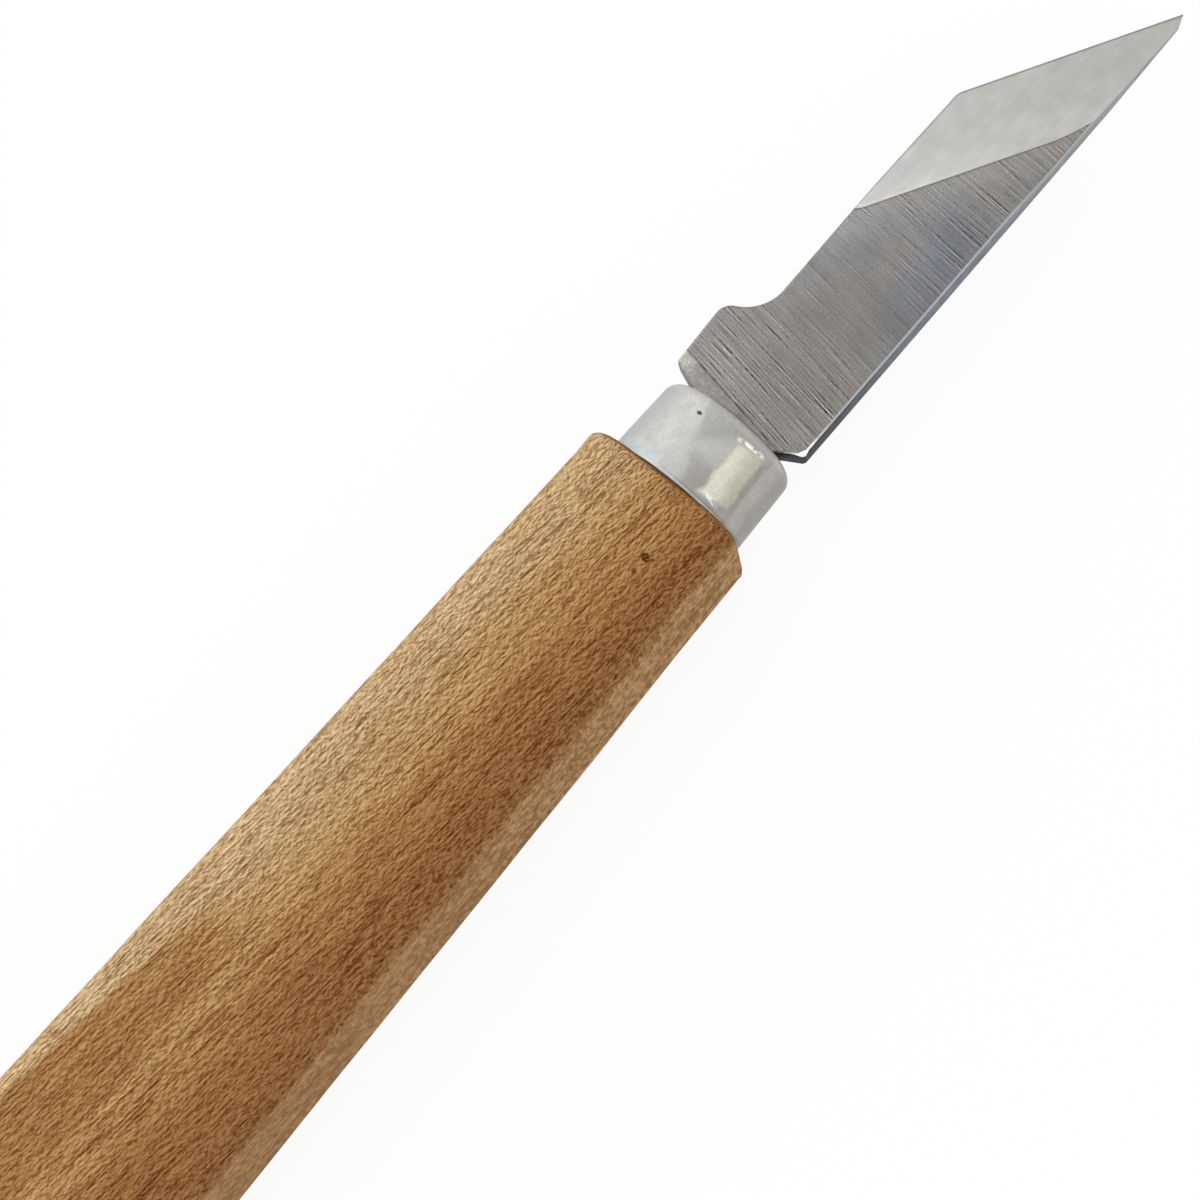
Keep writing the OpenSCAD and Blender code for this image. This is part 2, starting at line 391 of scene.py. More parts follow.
def makeHandle():
    rim, butt, inset = handle["frontRim"], handle["buttLength"], handle["buttInset"]
    buttStart = handle["length"] - butt
    quarter = lambda steps: [math.radians(90 * i / steps) for i in range(steps + 1)]
    stations = [(rim * (1 - math.cos(a)), rim * (1 - math.sin(a))) for a in quarter(handle["rimSteps"])]
    for a in quarter(handle["buttSteps"]):
        stations.append((buttStart + butt * math.sin(a), inset * (1 - math.cos(a))))
    piece = newPiece("woodHandle")
    bpy.ops.mesh.delete(type="VERT")
    for u, drawnIn in stations:
        addSection(u, drawnIn)
    xs = [-ferrule["length"] - u for u, drawnIn in stations]
    for i in range(len(xs) - 1):
        bridge(xs[i:i + 2], handle["lengthCuts"] if i == handle["rimSteps"] else 0)
    rearX = place(xs[-1], 0, 0).x
    pick("EDGE", lambda points: all(abs(p.x - rearX) < inLine for p in points))
    bpy.ops.mesh.edge_face_add()

    # the broad faces are cut into strips, so that they can waver
    broad = lambda a, b: abs(a.x - b.x) < inLine and (a - b).length > handle["broadSide"] * mm
    pick("EDGE", lambda points: broad(*points))
    bpy.ops.mesh.subdivide(number_cuts=handle["stripCuts"])
    rimX = place(-ferrule["length"] - rim, 0, 0).x
    pick("VERT", lambda points: points[0].x < rimX)
    bpy.ops.object.vertex_group_add()
    bpy.ops.object.vertex_group_assign()
    tenonAndHole()
    finishMesh(piece, handle["smoothAngle"])
    sandFaces(piece)
    return piece


# helpers for node trees: a socket that is given is linked, anything else is set

def treeOf(*values):
    return next(v.id_data for v in values if isinstance(v, bpy.types.NodeSocket))


def feed(value, socket):  # a colour gets its alpha here
    if isinstance(value, bpy.types.NodeSocket):
        socket.id_data.links.new(value, socket)
    elif socket.type == "RGBA":
        socket.default_value = (*value, 1)
    else:
        socket.default_value = value


def feedAll(node, values):
    for key, value in values.items():
        feed(value, node.inputs[key])


def add(tree, kind, values=None, **settings):
    made = tree.nodes.new("ShaderNode" + kind)
    for key, value in settings.items():
        setattr(made, key, value)
    feedAll(made, values or {})
    return made


def calc(operation, a, b=0.0, clamp=False):
    return add(treeOf(a, b), "Math", {0: a, 1: b}, operation=operation, use_clamp=clamp).outputs[0]


def plus(a, b):
    return calc("ADD", a, b)


def minus(a, b):
    return calc("SUBTRACT", a, b)


def times(*values):
    result = values[0]
    for value in values[1:]:
        result = calc("MULTIPLY", result, value)
    return result


def larger(a, b):
    return calc("MAXIMUM", a, b)


def apart(a, b):  # how far two numbers are apart
    return calc("ABSOLUTE", minus(a, b))


def opposite(mask):
    return minus(1.0, mask)


def centred(pattern):  # a pattern from 0 to 1 becomes one that goes up and down from 0
    return minus(pattern, 0.5)


def vector(operation, a, b):
    return add(treeOf(a, b), "VectorMath", {0: a, 1: b}, operation=operation).outputs[0]


def scaled(a, factor):
    return add(treeOf(a), "VectorMath", {0: a, 3: factor}, operation="SCALE").outputs[0]


def away(a, b=(0, 0, 0)):  # the distance between two points
    return add(treeOf(a, b), "VectorMath", {0: a, 1: b}, operation="DISTANCE").outputs["Value"]


def join(x, y, z=0.0):
    return add(treeOf(x, y, z), "CombineXYZ", {0: x, 1: y, 2: z}).outputs[0]


def split(point):
    return add(treeOf(point), "SeparateXYZ", {0: point}).outputs


def slide(value, low, high, toLow=0.0, toHigh=1.0, **settings):  # a straight change between two values
    ends = {0: value, 1: low, 2: high, 3: toLow, 4: toHigh}
    return add(treeOf(value), "MapRange", ends, **settings).outputs[0]


def fade(*values):  # a smooth one
    return slide(*values, interpolation_type="SMOOTHSTEP")


def band(value, low, high, soft):  # 1 between two values
    return times(fade(value, low - soft, low + soft), fade(value, high + soft, high - soft))


def blend(factor, a, b, kind="MIX"):
    inputs = {0: factor, 6: a, 7: b}
    return add(treeOf(factor, a, b), "Mix", inputs, data_type="RGBA", blend_type=kind).outputs[2]


def tinted(colour, tint):
    return blend(1.0, colour, tint, "MULTIPLY")


def shade(colour, tone):
    return tinted(colour, add(treeOf(tone), "CombineColor", {0: tone, 1: tone, 2: tone}).outputs[0])


def ramp(value, places, colours):
    made = add(treeOf(value), "ValToRGB", {0: value})
    points = made.color_ramp.elements
    while len(points) < len(places):
        points.new(0.5)
    for point, where, colour in zip(points, places, colours):
        point.position = where
        point.color = (*colour, 1)
    return made.outputs[0]


def raised(height, strength, distance):  # a bump, its distance in mm
    values = {"Strength": strength, "Distance": distance * mm, "Height": height}
    return add(treeOf(height), "Bump", values).outputs[0]


def newGroup(name, vectors, numbers, result):
    group = bpy.data.node_groups.new(name, "ShaderNodeTree")
    for label in vectors:
        group.interface.new_socket(label, in_out="INPUT", socket_type="NodeSocketVector")
    for label in numbers:
        group.interface.new_socket(label, in_out="INPUT", socket_type="NodeSocketFloat")
    group.interface.new_socket(result, in_out="OUTPUT", socket_type="NodeSocketFloat")
    return group, group.nodes.new("NodeGroupInput").outputs, group.nodes.new("NodeGroupOutput").inputs


def useGroup(group, values):
    return add(treeOf(*values.values()), "Group", values, node_tree=group).outputs[0]


def newMaterial(name):  # with the spot on the part, in mm
    material = bpy.data.materials.new(name)
    material.use_nodes = True
    tree = material.node_tree
    spot = scaled(add(tree, "TexCoord").outputs["Object"], 1 / mm)
    return material, tree.nodes["Principled BSDF"], spot


# lines drawn out along one direction: wood fibre, grinding marks

lineSizes = ["Width", "Length", "Waver", "Waver Size", "Detail"]
lineRoughness = 0.55
swayDetail = 1.0


def makeDrawnLines():
    group, given, result = newGroup("drawnLines", ["Vector", "Shift"], ["Turn", *lineSizes], "Lines")
    moved = vector("ADD", given["Vector"], given["Shift"])
    angle = {"Vector": moved, "Angle": given["Turn"]}
    turned = add(group, "VectorRotate", angle, rotation_type="Z_AXIS").outputs[0]
    slow = vector("DIVIDE", turned, given["Waver Size"])
    sway = add(group, "TexNoise", {"Vector": slow, "Scale": 1.0, "Detail": swayDetail}).outputs["Color"]
    sway = scaled(vector("SUBTRACT", sway, (0.5, 0.5, 0.5)), given["Waver"])
    size = join(given["Length"], given["Width"], given["Width"])
    drawn = vector("DIVIDE", vector("ADD", turned, sway), size)
    noise = {"Vector": drawn, "Scale": 1.0, "Detail": given["Detail"], "Roughness": lineRoughness}
    feed(add(group, "TexNoise", noise).outputs[0], result["Lines"])
    return group


def makeCloudTone():  # a slow change of tone over a surface
    group, given, result = newGroup("cloudTone", ["Vector"], ["Size", "Strength", "Detail"], "Tone")
    slow = vector("DIVIDE", given["Vector"], given["Size"])
    noise = add(group, "TexNoise", {"Vector": slow, "Scale": 1.0, "Detail": given["Detail"]}).outputs[0]
    feed(plus(times(centred(noise), given["Strength"]), 1.0), result["Tone"])
    return group


drawnLines = makeDrawnLines()
cloudTone = makeCloudTone()
print("node groups made")


def lines(spot, shape, shift=(0, 0, 0), turn=0.0):
    sizes = dict(zip(lineSizes, shape))
    return useGroup(drawnLines, {"Vector": spot, "Shift": shift, "Turn": turn, **sizes})


def cloud(spot, size, strength, detail=2.0):
    return useGroup(cloudTone, {"Vector": spot, "Size": size, "Strength": strength, "Detail": detail})


# the wood: lines are given as width, length, waver, size of the waver and detail,
# fades as from, to, and the values there where they are not 0 and 1, all in mm of the part

wood = {
    "grainTurn": math.radians(6.0),

    # the upper face, from the spine's side to the edge side
    "deepBrown": (0.275, 0.121, 0.037), "brown": (0.345, 0.172, 0.057),
    "golden": (0.433, 0.247, 0.092), "tan": (0.522, 0.353, 0.168),
    "toneStops": (0.12, 0.34, 0.55, 0.92), "toneReach": 8.0,
    "broadStreaks": (3.5, 50.0, 2.0, 18.0, 2.0), "broadDrift": 5.0,
    "streaks": (0.7, 9.0, 0.8, 5.0, 3.0), "streakDrift": 7.0,

    # a darker band at the rear and a short dark streak
    "bandTop": (-37.0, -58.0, 5.5, 8.3), "bandEdge": (0.7, -0.7), "bandFoot": (-0.3, 2.5),
    "bandStart": (-33.0, -44.0), "bandTone": -2.6,
    "darkStreak": (-2.5, -3.2), "streakSize": (7.0, 1.0), "streakFade": (1.0, 0.3, 0.0, 0.75),

    # the sides
    "sideGrain": (0.475, 0.28, 0.109), "sideBlotch": (0.285, 0.137, 0.039),
    "sideFrom": 6.3, "sideSoft": (0.5, -0.4), "paintedLightToEdgeSide": (-2.0, 6.0, 0.0, 0.6),
    "mottle": (0.62, 1.0, 4.0), "drawnOut": (-4.0, 4.0, 0.4, 0.7), "mottleTeeth": 5.0, "fibreTeeth": 2.0,
    "sideRings": (1.0, 40.0, 0.8, 12.0, 3.0), "sideRingShift": (4, 1, 8),
    "ringTone": (0.36, 0.64, -0.22, 0.22), "ringGain": (-4.0, 4.0, 0.45, 1.0), "flecks": (0.84, 1.12),
    "outlineAt": 0.95, "outlineWidth": 0.04, "outlineTone": 0.55,
    "rearDark": (15.0, -55.0, 0.0, 0.4),
    "seamFade": (0.9, 0.4), "seamTone": 0.2,

    # short, long and curled fibres: lines, shift, step to the flank that takes the painted light and shade,
    # and gain at the front and the rear
    "fibres": [
        ((0.23, 0.45, 0.44, 1.0, 2.0), (0, 0, 0), 0.12, (0.62, 0.55)),
        ((0.22, 3.2, 0.34, 2.5, 2.0), (7, 3, 5), 0.11, (0.25, 0.42)),
        ((0.42, 0.8, 0.6, 1.6, 2.0), (5, 8, 1), 0.2, (0.33, 0.33)),
    ],
    "rearward": (-20.0, -45.0),
    "darkFibreAndShade": (0.48, 0.31, 0.15), "paleFibreAndLight": (1.57, 1.74, 2.1), "fibreTone": (-0.17, 0.17),
    "shortShare": 0.6, "bodyGain": 0.55, "sideCalm": (-4.0, 4.0, 0.55, 0.3),

    # end grain and pores
    "cutAcross": (0.5, 0.85),
    "endPale": (0.33, 0.172, 0.062), "endDark": (0.262, 0.125, 0.041), "endPore": (0.13, 0.05, 0.014),
    "ringMiddle": (-16.0, 34.0), "ringWidth": 1.3, "ringShift": -0.7,
    "ringWaver": (9.0, 4.0), "ringFade": (-1.0, 0.8),
    "endPores": (0.2, 1.0, 1.0), "endPoreFade": (1.06, 1.16, 0.0, 0.85),
    "pore": (0.42, 0.26, 0.12), "poreDepth": 0.8, "sidePores": 0.2,
    "pores": (0.17, 5.0, 0.25, 4.0, 1.0), "poreShift": (11, 5, 2), "poreFade": (0.58, 0.64),
    "poreGroups": (1.8, 16.0, 1.0, 8.0, 2.0), "groupShift": (2, 9, 4), "groupFade": (0.42, 0.6, 0.15, 1.0),

    # a pin knot with specks beside it, and painted shade along the rim at the ferrule
    "knot": (10.25, -3.8), "knotSize": 0.44, "knotEdge": 0.75, "knotMiddle": (0.2, 0.6, 0.6, 1.0),
    "knotHeart": (0.078, 0.02, 0.002), "knotTone": 0.85, "knotWobble": 0.8, "onTop": (15.0, 16.0),
    "specks": [(8.67, -3.83, 0.38), (10.42, -4.3, 0.25), (10.5, -4.55, 0.22)],
    "speckHeart": 0.3, "speckTone": 0.8,
    "rimFade": (-0.34, -0.1), "rimTorn": 1.2, "rimTone": 0.85,

    "roughness": (-0.15, 0.15, 0.7, 0.56), "sheen": 0.06,
    "darkDent": 0.25, "outlineDent": 0.12, "bodyHeight": 0.8, "bump": (0.55, 0.35),
}


def faceColour(x, y, broad, streak):  # paler towards the edge side, partly the wood's own tone and partly painted light on the rounded edge there, with slow streaks of the growth rings
    drift = plus(times(centred(broad), wood["broadDrift"]), times(centred(streak), wood["streakDrift"]))
    aboveBand = minus(y, slide(x, *wood["bandTop"], clamp=False))
    inBand = times(fade(aboveBand, *wood["bandEdge"]), fade(y, *wood["bandFoot"]),
                   fade(x, *wood["bandStart"]))
    bandShift = times(inBand, minus(wood["bandTone"], y))
    across = slide(plus(plus(y, bandShift), drift), -wood["toneReach"], wood["toneReach"])
    tones = [wood[name] for name in ("deepBrown", "brown", "golden", "tan")]
    colour = ramp(across, wood["toneStops"], tones)
    streakX, streakY = wood["darkStreak"]
    fromX = minus(x, streakX)
    fromY = plus(minus(y, streakY), times(fromX, math.tan(wood["grainTurn"])))
    fromStreak = away(vector("DIVIDE", join(fromX, fromY), (*wood["streakSize"], 1)))
    fromStreak = plus(fromStreak, centred(streak))
    return blend(fade(fromStreak, *wood["streakFade"]), colour, wood["deepBrown"])


def sideColour(x, y, mottle, rings):  # the sides cut the fibres at a slant, so they are paler and mottled, and painted light makes the edge side paler still
    paintedLightToEdgeSide = fade(y, *wood["paintedLightToEdgeSide"])
    pale = blend(paintedLightToEdgeSide, wood["sideGrain"], wood["tan"])
    dark = blend(paintedLightToEdgeSide, wood["sideBlotch"], wood["golden"])
    rings = times(fade(rings, *wood["ringTone"]), fade(y, *wood["ringGain"]))
    colour = blend(fade(plus(mottle, rings), *wood["flecks"]), dark, pale)
    outline = fade(apart(mottle, wood["outlineAt"]), wood["outlineWidth"], 0.0)
    colour = blend(times(outline, wood["outlineTone"]), colour, wood["sideBlotch"])
    return blend(fade(x, *wood["rearDark"]), colour, wood["sideBlotch"]), outline


def endColour(spot, y, z):  # growth rings and open pores
    ringAway = plus(away(join(y, z), (*wood["ringMiddle"], 0)), cloud(spot, *wood["ringWaver"]))
    ringTurn = times(plus(ringAway, wood["ringShift"]), math.tau / wood["ringWidth"])
    colour = blend(fade(calc("SINE", ringTurn), *wood["ringFade"]), wood["endDark"], wood["endPale"])
    openPores = cloud(spot, *wood["endPores"])
    return blend(fade(openPores, *wood["endPoreFade"]), colour, wood["endPore"])


def knotMask(x, y, z, short):
    flatSpot = join(x, y)
    wobble = times(centred(short), wood["knotWobble"])
    fromKnot = plus(away(flatSpot, (*wood["knot"], 0)), wobble)
    size = wood["knotSize"]
    inner, outer, innerTone, outerTone = wood["knotMiddle"]
    mask = times(fade(fromKnot, size, wood["knotEdge"] * size),
                 fade(fromKnot, inner * size, outer * size, innerTone, outerTone))
    for speckX, speckY, speckSize in wood["specks"]:
        fromSpeck = plus(away(flatSpot, (speckX, speckY, 0)), wobble)
        heart = wood["speckHeart"] * speckSize
        mask = larger(mask, fade(fromSpeck, speckSize, heart, 0.0, wood["speckTone"]))
    return times(mask, fade(z, *wood["onTop"]))


def makeWood():
    material, shader, spot = newMaterial("oiledFruitWood")
    grain = lambda shape, shift=(0, 0, 0): lines(spot, shape, shift, wood["grainTurn"])
    x, y, z = split(spot)
    colour = faceColour(x, y, grain(wood["broadStreaks"]), grain(wood["streaks"]))

    # a ragged border parts the upper and lower face from the sides
    patterns = [grain(shape, shift) for shape, shift, step, gains in wood["fibres"]]
    short, long = patterns[:2]
    mottle = cloud(join(x, y, times(z, fade(y, *wood["drawnOut"]))), *wood["mottle"])
    teeth = plus(times(minus(mottle, 1.0), wood["mottleTeeth"]), times(centred(short), wood["fibreTeeth"]))
    beyond = minus(plus(apart(z, axisHeight), teeth), wood["sideFrom"])
    side = fade(beyond, *wood["sideSoft"])
    onSide, outline = sideColour(x, y, mottle, grain(wood["sideRings"], wood["sideRingShift"]))
    colour = blend(side, colour, onSide)
    darkBorderLine = times(fade(beyond, *wood["seamFade"]), opposite(side), wood["seamTone"])
    colour = blend(darkBorderLine, colour, wood["deepBrown"])

    # wavy fibres, each painted with light on one flank and shade on the other, as if it stood proud
    rearward = fade(x, *wood["rearward"])
    flank = 0.0
    for pattern, (shape, shift, step, gains) in zip(patterns, wood["fibres"]):
        beside = grain(shape, Vector(shift) + Vector((0, step, 0)))
        flank = plus(flank, times(minus(beside, pattern), fade(rearward, 0.0, 1.0, *gains)))
    body = plus(times(short, wood["shortShare"]), times(long, 1 - wood["shortShare"]))
    fibre = plus(times(centred(body), wood["bodyGain"]), flank)
    calm = times(fibre, opposite(times(side, fade(y, *wood["sideCalm"]))))
    fibreToneAndShade = blend(fade(calm, *wood["fibreTone"]), wood["darkFibreAndShade"], wood["paleFibreAndLight"])
    colour = tinted(colour, fibreToneAndShade)

    # end grain on the butt and the shoulder, and fine pores elsewhere
    facing = split(add(treeOf(spot), "NewGeometry").outputs["Normal"])
    cutAcross = fade(calc("ABSOLUTE", facing[0]), *wood["cutAcross"])
    colour = blend(cutAcross, colour, endColour(spot, y, z))
    pores = fade(grain(wood["pores"], wood["poreShift"]), *wood["poreFade"])
    groups = fade(grain(wood["poreGroups"], wood["groupShift"]), *wood["groupFade"])
    pores = times(pores, fade(side, 0.0, 1.0, 1.0, wood["sidePores"]), groups, opposite(cutAcross))
    knots = knotMask(x, y, z, short)
    # painted shade along the rim where the wood meets the ferrule, ragged along the fibres
    toRim = minus(plus(x, times(centred(short), wood["rimTorn"])), ferruleFace - ferrule["length"])
    paintedRimShade = times(fade(toRim, *wood["rimFade"]), wood["rimTone"])
    dark = larger(larger(knots, times(pores, wood["poreDepth"])), paintedRimShade)
    colour = blend(dark, colour, tinted(colour, wood["pore"]))
    colour = blend(times(knots, wood["knotTone"]), colour, wood["knotHeart"])

    dents = plus(times(dark, wood["darkDent"]), times(outline, side, wood["outlineDent"]))
    height = minus(times(body, wood["bodyHeight"]), dents)
    feedAll(shader, {
        "Base Color": colour, "Specular IOR Level": wood["sheen"],
        "Roughness": fade(fibre, *wood["roughness"]), "Normal": raised(height, *wood["bump"])})
    return material


# the steel of the blade, measured in mm from the ferrule's front on the axis

steel = {
    # the ground flat, with its grinding lines given as width and length
    "ground": (0.206, 0.2, 0.193), "warmTint": (1.03, 0.985, 0.94), "coolTint": (0.975, 1.0, 1.01),
    "lineTurn": math.radians(90), "lineWaver": (0.14, 6.0), "lineDetail": 2.0, "clusterDetail": 1.0,
    "lineLean": 0.2,  # mm that a line leans over for each mm of the blade's width
    "leanEase": 0.0027,  # and how much less for each mm towards the tip
    "heelZone": (16.0, 8.0), "heelCrowd": 0.3,
    "clusters": (1.6, 9.0), "clusterShift": (5, 2, 0), "clusterFade": (0.36, 0.58, 0.2, 0.85),
    "calmAt": 17.5, "calmFade": (2.0, 7.0, 0.4, 0.95),
    "fineScores": ((0.17, 8.0), (0, 0, 0), (0.42, 0.6)), "fineShare": 0.65,  # size, shift and fade
    "deepScores": ((0.25, 9.0), (3, 1, 0), (0.54, 0.66)),
    "scoreDepth": 0.6, "burrHighlightGain": 0.55, "burrStep": 0.7,  # in widths of the line
    "broken": (0.5, 1.0, 2.0), "brokenFade": (0.8, 1.15, 0.2, 1.15),
    "hair": (0.14, 5.0), "hairShift": (9, 4, 0), "hairGain": (0.35, 0.5),
    "strand": (0.9, 9.0), "strandShift": (2, 7, 0), "strandGain": 0.3,
    "grains": ((0.2, 0.65, 1.0), (1.3, 0.22, 3.0), (6.0, 0.3, 2.0)),
    "warmClouds": (5.0, 1.0), "warmHeel": 0.25, "warmFade": (0.85, 1.15),

    # the plain corner behind the first line
    "plainHeel": 1.85, "plainEdge": (-0.05, 0.05), "plainFade": (5.6, 8.0), "plainGrain": (0.5, 0.9, 3.0),
    "plainTone": (0.2, 0.193, 0.188), "plainCorner": (0.295, 0.31, 0.298),
    "border": (0.04, 0.036, 0.032), "borderFade": (0.17, 0.03),
    "borderClouds": (1.4, 1.0, 2.0), "borderGain": (0.85, 1.1, 0.3, 0.85),

    # slow changes along the flat
    "coolMiddle": (0.985, 1.0, 1.045), "middleFades": ((16.0, 23.0), (33.0, 28.0)),
    "coolSpine": (0.83, 0.88, 0.96), "spineFades": ((11.0, 19.0), (34.0, 27.0)), "spineReach": (-1.0, -5.5),
    "edgeLift": (1.0, 4.3, 1.0, 1.1), "heelLift": (8.0, 4.0, 1.0, 1.07),
    "edgeLine": (4.85, 5.02), "edgeLineFrom": (16.0, 20.0), "edgeLineTone": 0.3,

    # the bevel
    "bevel": (0.452, 0.45, 0.436), "bevelWarm": (1.02, 1.0, 0.965), "bevelCool": (0.962, 0.978, 1.0),
    "bevelEdge": (-0.05, 0.05), "spineRound": (-5.6, 0.17), "cornerRound": (4.3, 0.5),
    "tintClouds": (3.0, 1.6, 3.0), "tintLean": 0.02, "tintFade": (0.7, 1.2),
    "strokes": (0.55, 3.5, 0.6, 5.0, 2.0), "strokeGain": (0.88, 0.24), "bevelClouds": (2.4, 0.3, 3.0),
    "bevelAcross": (-7.0, 4.5, 1.0, 1.06), "bevelDeep": (0.3, 5.0, 1.07, 0.97),
    "lipAt": 0.2, "lipFade": (0.18, 0.05), "lipReach": (-4.0, 4.0), "lipGain": 0.14,
    "honed": (0.26, 0.16), "honedTone": 0.4,
    "ditchAt": -0.1, "ditchFade": (0.14, 0.04), "ditchTone": 0.4, "towardsBevel": (-4.5, -0.3, 1.0, 1.28),

    # the spine, from the heel to the tip: its chamfer polished and given a painted highlight, with a painted
    # gleam at the heel, and its side wall in painted shade
    "polishAndHighlight": (0.4, 0.42, 0.45), "polishAndHighlightTip": (0.45, 0.445, 0.435), "tipward": (28.0, 40.0),
    "paintedHeelGleam": (0.75, 0.75, 0.74), "gleamClouds": (0.4, 1.6, 2.0), "toHeel": (6.5, 2.5),
    "spineSide": (0.216, 0.231, 0.258), "sideClouds": (1.2, 1.0, 2.0),
    "spineSideHeelShade": (0.055, 0.05, 0.046), "sideToHeel": (22.0, 1.5),
    "spineSideTip": (0.395, 0.39, 0.373), "sideToTip": (26.0, 54.0), "tipGleam": (-0.4, 1.0, 0.0, 0.9),
    "onSpine": (-3.0, -3.4), "chamferSlope": (0.97, 0.96), "wallSlope": (0.7, 0.6),
    "chamferWidth": (0.34, 0.28), "tipNarrowing": 0.18,

    "roughness": (0.42, 0.38),  # of the flat, and of the bevel and the chamfer
    "bump": (0.5, 0.03), "grazing": (0.6, 0.62, 0.66),
}


def measured(spot):  # the spot from the ferrule's front on the axis
    return vector("SUBTRACT", spot, (ferruleFace, 0, axisHeight))


def groundFlat(spot, x, y):  # the colour of the flat and the height of its scores
    lean = minus(steel["lineLean"], times(x, steel["leanEase"]))
    along = minus(x, times(y, lean))
    sheet = join(along, y)

    def ruling(size, shift, detail=steel["lineDetail"]):  # across the flat, leaning less towards the tip
        return lines(sheet, (*size, *steel["lineWaver"], detail), shift, steel["lineTurn"])

    def scored(size, shift, limits):  # a dark score line, and beside it a painted highlight where its burr shines
        beside = Vector(shift) + Vector((steel["burrStep"] * size[0], 0, 0))
        burrHighlight = fade(ruling(size, beside), *limits)
        dark = fade(ruling(size, shift), *limits)
        return minus(times(burrHighlight, steel["burrHighlightGain"]), times(dark, steel["scoreDepth"]))

    ruled = fade(minus(along, steel["plainHeel"]), *steel["plainEdge"])
    heelward = fade(x, *steel["heelZone"])
    clusters = ruling(steel["clusters"], steel["clusterShift"], steel["clusterDetail"])
    clusters = plus(fade(clusters, *steel["clusterFade"]), times(heelward, steel["heelCrowd"]))
    crowd = times(clusters, fade(apart(x, steel["calmAt"]), *steel["calmFade"]), ruled)
    scores = plus(times(scored(*steel["fineScores"]), steel["fineShare"]), scored(*steel["deepScores"]))
    scores = times(scores, crowd, fade(cloud(spot, *steel["broken"]), *steel["brokenFade"]))
    hair = centred(ruling(steel["hair"], steel["hairShift"]))
    hair = times(hair, fade(ruled, 0.0, 1.0, *steel["hairGain"]))
    strands = times(centred(ruling(steel["strand"], steel["strandShift"])), steel["strandGain"])
    tone = plus(plus(1.0, plus(hair, strands)), scores)
    tone = times(tone, *[cloud(spot, *grain) for grain in steel["grains"]])

    plain = blend(fade(y, *steel["plainFade"]), steel["plainTone"], steel["plainCorner"])
    plain = shade(plain, cloud(spot, *steel["plainGrain"]))
    warmth = plus(cloud(spot, *steel["warmClouds"]), times(heelward, steel["warmHeel"]))
    tint = blend(fade(warmth, *steel["warmFade"]), steel["coolTint"], steel["warmTint"])
    colour = shade(tinted(blend(ruled, plain, steel["ground"]), tint), tone)
    between = lambda fades: times(*[fade(x, *ends) for ends in fades])
    colour = blend(between(steel["middleFades"]), colour, tinted(colour, steel["coolMiddle"]))
    alongSpine = times(between(steel["spineFades"]), fade(y, *steel["spineReach"]))
    colour = blend(alongSpine, colour, tinted(colour, steel["coolSpine"]))
    colour = shade(colour, times(fade(y, *steel["edgeLift"]), fade(x, *steel["heelLift"])))
    border = times(fade(apart(along, steel["plainHeel"]), *steel["borderFade"]),
                   fade(cloud(spot, *steel["borderClouds"]), *steel["borderGain"]))
    return blend(border, colour, steel["border"]), scores


def groundBevel(spot, x, y, flat):  # lies between a line parallel to the cutting edge and the edge
    outward = (math.sin(skew), math.cos(skew))
    tipAt = tip.x * outward[0] + tip.y * outward[1]
    fromEdge = minus(tipAt, plus(times(x, outward[0]), times(y, outward[1])))

    # it rounds off at both ends
    spineFrom, spineGain = steel["spineRound"]
    cornerFrom, cornerGain = steel["cornerRound"]
    toSpine = larger(minus(spineFrom, y), 0.0)
    toCorner = larger(minus(y, cornerFrom), 0.0)
    rounding = plus(times(toSpine, toSpine, spineGain), times(toCorner, toCorner, cornerGain))
    into = minus(minus(blade["bevelWidth"], rounding), fromEdge)
    mask = fade(into, *steel["bevelEdge"])

    warmth = minus(cloud(spot, *steel["tintClouds"]), times(y, steel["tintLean"]))
    tint = blend(fade(warmth, *steel["tintFade"]), steel["bevelCool"], steel["bevelWarm"])
    base, gain = steel["strokeGain"]
    strokes = plus(base, times(lines(spot, steel["strokes"]), gain))
    tone = times(cloud(spot, *steel["bevelClouds"]), strokes,
                 fade(y, *steel["bevelAcross"]), fade(into, *steel["bevelDeep"]))
    pale = shade(tinted(steel["bevel"], tint), tone)
    # a painted highlight along the grind line on the bevel's side, fading out towards the spine
    lipHighlight = times(fade(apart(into, steel["lipAt"]), *steel["lipFade"]), fade(y, *steel["lipReach"]))
    honed = times(fade(fromEdge, *steel["honed"]), steel["honedTone"])
    pale = shade(pale, minus(plus(1.0, times(lipHighlight, steel["lipGain"])), honed))
    ditch = times(fade(apart(into, steel["ditchAt"]), *steel["ditchFade"]), steel["ditchTone"])
    flat = shade(flat, minus(fade(into, *steel["towardsBevel"]), ditch))
    colour = blend(mask, flat, pale)
    edgeLine = times(fade(y, *steel["edgeLine"]), fade(x, *steel["edgeLineFrom"]), steel["edgeLineTone"])
    return shade(colour, opposite(edgeLine)), mask


